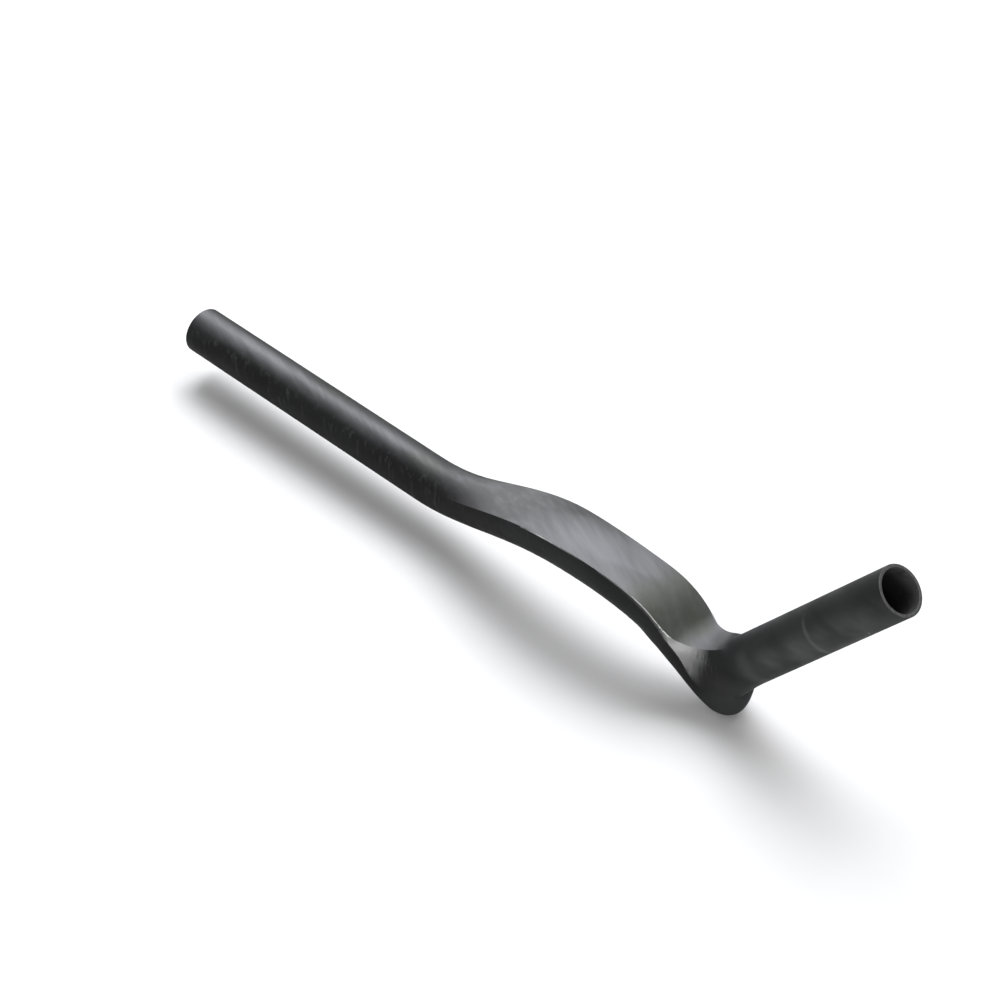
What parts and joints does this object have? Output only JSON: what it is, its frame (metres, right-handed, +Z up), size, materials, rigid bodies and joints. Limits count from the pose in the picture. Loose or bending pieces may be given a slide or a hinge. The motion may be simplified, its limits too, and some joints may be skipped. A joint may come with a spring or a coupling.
{
  "type": "aero handlebar extension",
  "caption": "Hollow carbon handlebar extension: round clamp tube, arched flat-topped arm, knuckle with a heel, and an upturned round grip tube with an open mouth.",
  "frame": {"origin": "centre of the straight tube's rear end", "axes": "+X forward along the straight tube, +Y towards the middle of the bicycle, +Z up"},
  "size_m": [0.3974, 0.0459, 0.1071],
  "materials": {
    "carbon": "satin unidirectional carbon-fibre laminate"
  },
  "bodies": {
    "root": {"extension": "carbon"}
  },
  "joints": []
}
